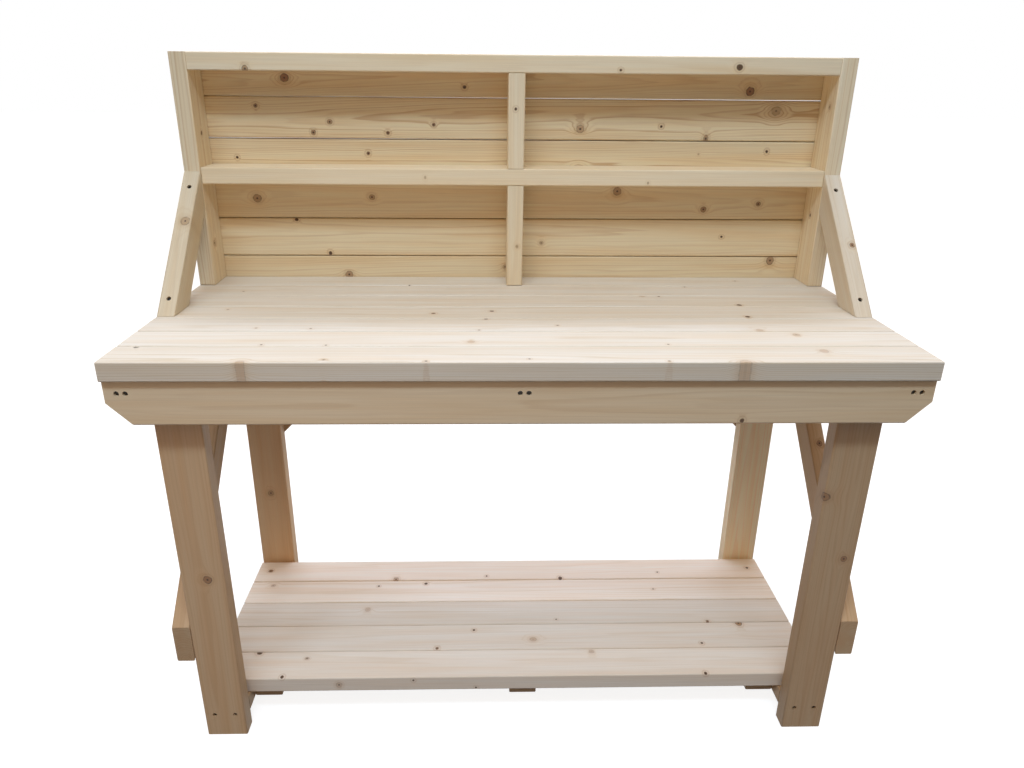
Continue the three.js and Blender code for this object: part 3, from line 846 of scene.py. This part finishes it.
def clear_wood(tree, told, slow, near, streak, ring_share, early, late, heart):
    """The colour of the wood without its knot."""
    clouds = add(tree, VECTOR, {0: slow, 1: (3, 7, 11)}, operation="ADD")
    clouds = add(tree, NOISE, {"Vector": clouds, "Scale": CLOUD_SCALE, "Detail": 2})
    clouds = add(tree, RANGE, {0: clouds, 1: 0.35, 2: 0.7, 3: 0, 4: 1})
    warm_share = add(tree, MATH, {0: clouds, 1: CLOUD_SHARE}, operation="MULTIPLY")
    warm_share = add(tree, MATH, {0: near, 1: KNOT_WARMTH, 2: warm_share}, operation="MULTIPLY_ADD")
    wood = add(tree, MIX, {0: ring_share, A: linear(early), B: linear(late)}, RESULT, data_type="RGBA")
    wood = add(tree, MIX, {0: warm_share, A: wood, B: linear(heart)}, RESULT, data_type="RGBA",
               blend_type="MULTIPLY")
    brightness = add(tree, MATH, {0: streak, 1: FIBRE_CONTRAST, 2: 1}, operation="MULTIPLY_ADD")
    # The shade attribute brightens or darkens the whole timber: partly plank tone, partly painted light and
    # shade.
    brightness = add(tree, MATH, {0: told["shade"], 1: brightness}, operation="ADD")
    brightness = add(tree, MATH, {0: told["end_grain"], 1: END_GRAIN_SHADE, 2: brightness},
                     operation="MULTIPLY_ADD")
    return add(tree, VECTOR, {0: wood, "Scale": brightness}, operation="SCALE")


print("Fibres are drawn", FIBRE_WIDTH / MM, "mm wide")

# %% [markdown]
# A knot is the branch seen end on, with rings of its own, much tighter than the trunk's. A live branch
# is only a warmer disc. A dead one has a ring of bark round it, broken in places, and a black check at
# its heart, and the smallest dead ones are black right through.

# %% Knots and bark
SHEATH_GAP = 3.5 * MM  # from a knot's rim to the faint ring around it
SHEATH_STRENGTH = 0.22
HALO_STRENGTH = 0.14
KNOT_RING_RATE = 22
RIM_AT = 0.88  # of the knot's radius
RIM_WIDTH = (0.02, 0.17)
BREAK_SIZE = 6 * MM
CHECK_RADII = (1.2 * MM, 3 * MM)
DEEPEST_BARK = 0.88
BLACK_KNOT = 0.75


def knot_disc(tree, told, wood, distance, share, inside, knot_wood):
    """Lays the branch's own wood, and the faint rings close around it, over the clear wood."""
    sheath = add(tree, MATH, {0: distance, 1: told["knot_size"]}, operation="SUBTRACT")
    sheath = add(tree, MATH, {0: sheath, 1: SHEATH_GAP}, operation="SUBTRACT")
    sheath = add(tree, MATH, {0: sheath}, operation="ABSOLUTE")
    sheath = add(tree, RANGE, {0: sheath, 1: 0.4 * MM, 2: 2 * MM, 3: SHEATH_STRENGTH, 4: 0},
                 interpolation_type="SMOOTHSTEP")
    sheath = add(tree, MATH, {0: sheath, 1: told["knot_dark"]}, operation="MULTIPLY")
    halo = add(tree, RANGE, {0: share, 1: 1, 2: 2, 3: HALO_STRENGTH, 4: 0}, interpolation_type="SMOOTHSTEP")
    halo = add(tree, MATH, {0: halo, 1: sheath}, operation="MAXIMUM")
    wood = add(tree, MIX, {0: halo, A: wood, B: linear(knot_wood)}, RESULT, data_type="RGBA")
    rings = add(tree, MATH, {0: share, 1: KNOT_RING_RATE}, operation="MULTIPLY")
    rings = add(tree, MATH, {0: rings}, operation="SINE")
    rings = add(tree, RANGE, {0: rings, 1: -1, 2: 1, 3: 0.78, 4: 1})
    disc = add(tree, VECTOR, {0: linear(knot_wood)[:3], "Scale": rings}, operation="SCALE")
    disc_share = add(tree, RANGE, {0: told["knot_dark"], 1: 0.5, 2: 0.95, 3: 0.32, 4: 0.85})
    disc_share = add(tree, MATH, {0: inside, 1: disc_share}, operation="MULTIPLY")
    return add(tree, MIX, {0: disc_share, A: wood, B: disc}, RESULT, data_type="RGBA")


def bark_share(tree, told, distance, share, inside):
    """How much bark shows: in the broken rim, at the check, and all over a small black knot."""
    rim = add(tree, MATH, {0: share, 1: RIM_AT}, operation="SUBTRACT")
    rim = add(tree, MATH, {0: rim}, operation="ABSOLUTE")
    rim = add(tree, RANGE, {0: rim, 1: RIM_WIDTH[0], 2: RIM_WIDTH[1], 3: 1, 4: 0},
              interpolation_type="SMOOTHSTEP")
    rim_strength = add(tree, RANGE, {0: told["knot_dark"], 1: 0.4, 2: 1, 3: 0.25, 4: 1})
    rim = add(tree, MATH, {0: rim, 1: rim_strength}, operation="MULTIPLY")
    broken = add(tree, NOISE, {"Vector": told["log"], "Scale": 1 / BREAK_SIZE, "Detail": 1})
    broken = add(tree, RANGE, {0: broken, 1: 0.35, 2: 0.6, 3: 0.25, 4: 1})
    rim = add(tree, MATH, {0: rim, 1: broken}, operation="MULTIPLY")
    check = add(tree, RANGE, {0: distance, 1: CHECK_RADII[0], 2: CHECK_RADII[1], 3: 1, 4: 0},
                interpolation_type="SMOOTHSTEP")
    check_strength = add(tree, RANGE, {0: told["knot_dark"], 1: 0.15, 2: 0.6, 3: 0, 4: 1})
    check = add(tree, MATH, {0: check, 1: check_strength}, operation="MULTIPLY")
    bark = add(tree, MATH, {0: rim, 1: check}, operation="MAXIMUM")
    bark = add(tree, MATH, {0: bark, 1: DEEPEST_BARK}, operation="MULTIPLY")
    black = add(tree, RANGE, {0: told["knot_dark"], 1: 0.95, 2: 1, 3: 0, 4: BLACK_KNOT})
    black = add(tree, MATH, {0: black, 1: inside}, operation="MULTIPLY")
    return add(tree, MATH, {0: bark, 1: black}, operation="MAXIMUM")


print("A knot's bark is drawn at", RIM_AT, "of its radius")

# %% [markdown]
# The material puts the steps together. Late wood is harder than early wood and stands a hair higher
# after planing, and it takes a better polish. Sawn ends are rougher than planed faces.

# %% The finished spruce
ROUGHNESS = 0.56
LATE_WOOD_POLISH = -0.1
END_GRAIN_ROUGHNESS = 0.2
RELIEF = 0.08 * MM
SPRUCE_IOR = 1.5


def planed_spruce(name, early, late, heart, knot_wood, bark, contrast):
    """Spruce from five colours, and how strongly its late wood stands out from its early wood."""
    material, tree = new_material(name)
    told = read_timber(tree)
    distance, near = branch_distance(tree, told)
    slow = add(tree, VECTOR, {0: told["log"], 1: (1 / DRIFT_LENGTH, 1 / DRIFT_WIDTH, 1 / DRIFT_WIDTH)},
               operation="MULTIPLY")
    late_wood = year_rings(tree, told, slow, near)
    streak = fibre_streaks(tree, told)
    ring_share = add(tree, MATH, {0: late_wood, 1: contrast}, operation="MULTIPLY")
    wood = clear_wood(tree, told, slow, near, streak, ring_share, early, late, heart)

    share = add(tree, MATH, {0: distance, 1: told["knot_size"]}, operation="DIVIDE")
    inside = add(tree, RANGE, {0: share, 1: 0.75, 2: 1, 3: 1, 4: 0}, interpolation_type="SMOOTHSTEP")
    wood = knot_disc(tree, told, wood, distance, share, inside, knot_wood)
    bark_shown = bark_share(tree, told, distance, share, inside)
    wood = add(tree, MIX, {0: bark_shown, A: wood, B: linear(bark)}, RESULT, data_type="RGBA")

    relief = add(tree, MATH, {0: streak, 1: 0.25, 2: late_wood}, operation="MULTIPLY_ADD")
    relief = add(tree, MATH, {0: bark_shown, 1: -2, 2: relief}, operation="MULTIPLY_ADD")
    bump = add(tree, "ShaderNodeBump", {"Height": relief, "Distance": RELIEF, "Strength": 1})
    gloss = add(tree, MATH, {0: late_wood, 1: LATE_WOOD_POLISH, 2: ROUGHNESS}, operation="MULTIPLY_ADD")
    gloss = add(tree, MATH, {0: told["end_grain"], 1: END_GRAIN_ROUGHNESS, 2: gloss},
                operation="MULTIPLY_ADD")
    shader = add(tree, "ShaderNodeBsdfPrincipled",
                 {"Base Color": wood, "Roughness": gloss, "Normal": bump, "IOR": SPRUCE_IOR})
    tree.links.new(shader, tree.nodes.new("ShaderNodeOutputMaterial").inputs["Surface"])
    return material


# Freshly planed sapwood: nearly white, partly its own pale colour and partly painted sheen, the
# whitening that the light gives the worktop's top, which gives the worktop its bright, silky face.
sapwood = planed_spruce(
    "planed spruce sapwood", "#E4DDD0", "#CDBD9F", "#F3DFC0", "#B0814F", "#321C11", 0.75)
# The same timber under foot: a little pinker and brighter, partly its own colour and partly painted
# light that brightens the shelf, which sets the lower shelf off from the worktop.
shelf_stock = planed_spruce(
    "planed spruce shelf stock", "#FAF1E5", "#E0CCAC", "#F3DFC8", "#B0814F", "#321C11", 0.5)
# Whole-section frame timber: a shade browner, partly browner wood and partly painted shade, the shade
# that the legs and braces stand in under the worktop, which gives them their weight.
framing = planed_spruce(
    "planed spruce framing", "#CBAC86", "#B1885A", "#EFD0A6", "#8F6038", "#2A180E", 0.6)
# Back boards with heartwood: honey-coloured with strong figure, which gives the panel its warm lines.
heartwood = planed_spruce(
    "planed spruce heartwood", "#F0DDB6", "#C29462", "#F0CE9E", "#8A5228", "#2A180C", 0.62)
# Shelf unit: clean, straight wood, which gives long even faces with fine lines.
clear_stock = planed_spruce(
    "planed spruce clear stock", "#F5E5C6", "#DBBD90", "#F0DAB4", "#A0733F", "#2E1B10", 0.5)
# A whiter, cooler copy for one strut: painted light, standing in for the cool light that falls on its
# front face from the right, which makes its face stand out against the uprights.
painted_cool_light_stock = planed_spruce(
    "planed spruce stock with painted cool light", "#EEE3CF", "#D4BF9A", "#F2DEBE", "#A8794A", "#301E11", 0.55)
# Aprons: the same clean wood, a little greyer and darker, partly greyer wood and partly painted shade,
# which makes the bench's front edge read as one dark band.
apron_stock = planed_spruce(
    "planed spruce apron stock", "#EAD5B4", "#CFAF86", "#EFDBB8", "#A0733F", "#2E1B10", 0.45)
print("Seven finishes of spruce")

# %% [markdown]
# ## Zinc-plated steel
# Wood screws are steel with a thin coat of bright zinc. Their colours are darkened, partly dulled zinc
# and partly painted shade, so that a screw sunk in its hole reads as dark as the hole. The zinc gives
# the eye a small cold glint deep in a hole, slightly mottled where the zinc has dulled.


# %% Zinc-plated steel
MOTTLE_SIZE = 1.5 * MM
ZINC_RELIEF = 0.03 * MM


def zinc_plated_steel():
    material, tree = new_material("zinc-plated steel")
    place = add(tree, "ShaderNodeTexCoord", out="Object")
    mottle = add(tree, NOISE, {"Vector": place, "Scale": 1 / MOTTLE_SIZE, "Detail": 3})
    # Two dark greys: partly dulled zinc, partly painted shade for a screw deep in its hole.
    colour = add(tree, MIX, {0: mottle, A: linear("#5A5651"), B: linear("#2E2B28")}, RESULT,
                 data_type="RGBA")
    gloss = add(tree, RANGE, {0: mottle, 1: 0.3, 2: 0.7, 3: 0.28, 4: 0.5})
    bump = add(tree, "ShaderNodeBump", {"Height": mottle, "Distance": ZINC_RELIEF})
    shader = add(tree, "ShaderNodeBsdfPrincipled",
                 {"Base Color": colour, "Roughness": gloss, "Normal": bump, "Metallic": 1})
    tree.links.new(shader, tree.nodes.new("ShaderNodeOutputMaterial").inputs["Surface"])
    return material


zinc = zinc_plated_steel()
print("One finish of steel")

# %% [markdown]
# ## Finishing each timber
# The long round edges are shaded smooth and the wide faces stay flat, so that a highlight runs along
# an arris without bending the light on the face beside it. Each timber rides on the bench's one body
# and stands for its node of the frame.

# %% Finish and hand over the timbers
FLATNESS = 0.01  # how far a face may turn and still count as one of the wide, flat ones
finish_of = [
    ("worktop_board", sapwood, "worktop_boards"), ("apron", apron_stock, "aprons"),
    ("shelf_board", shelf_stock, "lower_shelf"), ("shelf_batten", framing, "lower_shelf"),
    ("panel_board", heartwood, "back_panel"), ("upright", clear_stock, "shelf_unit"),
    # The right strut's whiter, cooler copy is painted light.
    ("strut_right", painted_cool_light_stock, "shelf_unit"), ("strut_left", clear_stock, "shelf_unit"),
    ("top_rail", clear_stock, "shelf_unit"), ("middle_shelf", clear_stock, "shelf_unit"),
    # The right rear leg takes the lighter clear stock: partly a lighter plank, partly painted light.
    ("centre_post", clear_stock, "shelf_unit"), ("rear_leg_right", clear_stock, "frame_timber"),
    ("", framing, "frame_timber"),
]
for name, piece in pieces.items():
    _, material, slot = next(entry for entry in finish_of if entry[0] in name)
    along, across = timbers[name][1:3]
    for polygon in piece.data.polygons:
        runs_along = abs(polygon.normal.dot(along)) < FLATNESS
        squareness = max(abs(polygon.normal.dot(along)), abs(polygon.normal.dot(across)))
        polygon.use_smooth = runs_along and FLATNESS < squareness < 1 - FLATNESS
    piece.data.materials.clear()
    piece.data.materials.append(material)
    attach(piece, "root")
    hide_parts(name)
print(len(pieces), "timbers ride on the bench")

# %% [markdown]
# ## Placing the screws
# Each screw that has a node in the frame is a piece of its own. The others are gathered by the part
# of the bench that they hold.

# %% Place the screws
gathered = {}
for name, (point, direction, through) in screws.items():
    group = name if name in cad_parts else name.rsplit("_", 1)[0] + "s"
    gathered.setdefault(group, []).append((point, direction))
for group, places in gathered.items():
    body = bmesh.new()
    for point, direction in places:
        placed(body, screw_mesh, point, direction)
    mesh = bpy.data.meshes.new(group)
    body.to_mesh(mesh)
    body.free()
    mesh.materials.append(zinc)
    piece = mesh_object(f"{group}_steel", mesh)
    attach(piece, "root")
    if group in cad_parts:
        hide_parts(group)
print(len(gathered), "pieces of steel for", len(screws), "screws")

# %% [markdown]
# ## Floor and light
# The bench stands on a plain pale floor. A long soft strip hangs in front of it and throws the soft
# shadows under the rail and the middle shelf. Two dimmer strips behind it brighten the worktop and
# draw a line of light on its front edge. A small warm fill stands for the glow of a room at the front
# left, and a dim dome of light, brightest above, fills what is left. Soft lights suit pale wood, since
# a hard one would burn out the worktop.

# %% Floor
FLOOR_SIZE = 30
FLOOR_GLOW = 0.85
ground = bmesh.new()
bmesh.ops.create_grid(ground, x_segments=1, y_segments=1, size=FLOOR_SIZE)
floor_mesh = bpy.data.meshes.new("floor")
ground.to_mesh(floor_mesh)
ground.free()
floor = mesh_object("floor", floor_mesh)
floor.visible_diffuse = False
floor_material, tree = new_material("pale studio floor")
shader = add(tree, "ShaderNodeBsdfPrincipled",
             {"Base Color": linear("#A8A8A8"), "Roughness": 0.9, "Emission Color": linear("#FFFFFF"),
              "Emission Strength": FLOOR_GLOW, "Specular IOR Level": 0})
tree.links.new(shader, tree.nodes.new("ShaderNodeOutputMaterial").inputs["Surface"])
floor_mesh.materials.append(floor_material)
print("The floor reaches", FLOOR_SIZE, "m each way")

# %% Strip lights
STRIP = (3.6, 0.3)
FILL = (0.6, 0.4)
COOL, COOLER, WARM = "#D7E5FF", "#CDE7FF", "#FFCFA2"


def soft_light(name, place, size, watts, tint):
    """A rectangular light that faces the front apron."""
    light = bpy.data.lights.new(name, "AREA")
    light.shape = "RECTANGLE"
    light.size, light.size_y = size
    light.energy = watts
    light.color = linear(tint)[:3]
    hung = bpy.data.objects.new(name, light)
    hung.location = place
    hung.rotation_euler = (centre_of("front_apron") - Vector(place)).to_track_quat("-Z", "Y").to_euler()
    bpy.context.scene.collection.objects.link(hung)


soft_light("front_strip", (-0.3, -2.2, 4.2), STRIP, 96, COOLER)
soft_light("rear_strip", (0, 1.5, 3.6), STRIP, 54, COOL)
soft_light("far_strip", (0, 2.6, 3.8), STRIP, 24, COOL)
soft_light("warm_fill", (-0.55, -1.55, 1.1), FILL, 2, WARM)
print("Three strips of", STRIP[0], "m and a small warm fill")

# %% [markdown]
# The dome's colour depends on the direction that a ray leaves in: a wall to the left, one to the
# right, one behind the bench, the ground and the ceiling. The camera itself sees plain white.

# %% Dome light
LEFT_WALL, RIGHT_WALL, BACK_WALL = "#333029", "#303336", "#AAAAAA"
GROUND, CEILING = "#101010", "#FFE7CF"
DOME_STRENGTH = 0.8
world = bpy.data.worlds.new("soft_studio")
world.use_nodes = True
tree = world.node_tree
tree.nodes.clear()
direction = add(tree, "ShaderNodeTexCoord", out="Generated")
sideways = add(tree, "ShaderNodeSeparateXYZ", {0: direction}, out="X")
backward = add(tree, "ShaderNodeSeparateXYZ", {0: direction}, out="Y")
height = add(tree, "ShaderNodeSeparateXYZ", {0: direction}, out="Z")
side_share = add(tree, RANGE, {0: sideways, 1: -0.8, 2: 0.8, 3: 0, 4: 1})
back_share = add(tree, RANGE, {0: backward, 1: -0.3, 2: 0.3, 3: 0, 4: 1})
ceiling_share = add(tree, RANGE, {0: height, 1: 0.1, 2: 0.85, 3: 0, 4: 1}, interpolation_type="SMOOTHSTEP")
ground_share = add(tree, RANGE, {0: height, 1: 0.05, 2: -0.25, 3: 0, 4: 1})
dome = linear(LEFT_WALL)
for wall_share, colour in ((side_share, RIGHT_WALL), (back_share, BACK_WALL), (ground_share, GROUND),
                           (ceiling_share, CEILING)):
    dome = add(tree, MIX, {0: wall_share, A: dome, B: linear(colour)}, RESULT, data_type="RGBA")
seen = add(tree, "ShaderNodeLightPath", out="Is Camera Ray")
dome_light = add(tree, "ShaderNodeBackground", {"Color": dome, "Strength": DOME_STRENGTH})
backdrop = add(tree, "ShaderNodeBackground", {"Color": linear("#FFFFFF"), "Strength": 1})
both = add(tree, "ShaderNodeMixShader", {0: seen, 1: dome_light, 2: backdrop})
tree.links.new(both, tree.nodes.new("ShaderNodeOutputWorld").inputs["Surface"])
bpy.context.scene.world = world
bpy.context.scene.view_settings.view_transform = "Standard"
print("The dome is lit")

# %% [markdown]
# ## Camera
# The camera stands just below eye height, a little left of the bench's middle, and looks down at the
# worktop through a wide lens. Its turn is written as a person would set a tripod head: pan, tilt and
# roll.

# %% Camera
PAN, TILT, ROLL = math.radians(1.6), math.radians(21.75), math.radians(0.52)
SENSOR_WIDTH, FOCAL_LENGTH = 36, 26.97
SIDE_SHIFT = 0.008
camera_data = bpy.data.cameras.new("camera")
camera_data.sensor_width = SENSOR_WIDTH
camera_data.lens = FOCAL_LENGTH
camera_data.shift_x = SIDE_SHIFT
camera = bpy.data.objects.new("camera", camera_data)
camera.location = millimetres(-74.6, -1622.8, 1385.8)
forward = Vector((math.sin(PAN) * math.cos(TILT), math.cos(PAN) * math.cos(TILT), -math.sin(TILT)))
right = Vector((math.cos(PAN), -math.sin(PAN), 0))
up = right.cross(forward)
rolled_right = right * math.cos(ROLL) + up * math.sin(ROLL)
rolled_up = up * math.cos(ROLL) - right * math.sin(ROLL)
turn = Matrix((rolled_right, rolled_up, -forward)).transposed().to_4x4()
camera.matrix_world = Matrix.Translation(camera.location) @ turn
bpy.context.scene.collection.objects.link(camera)
bpy.context.scene.camera = camera
print("The camera is", round(camera.location.z, 2), "m above the floor")
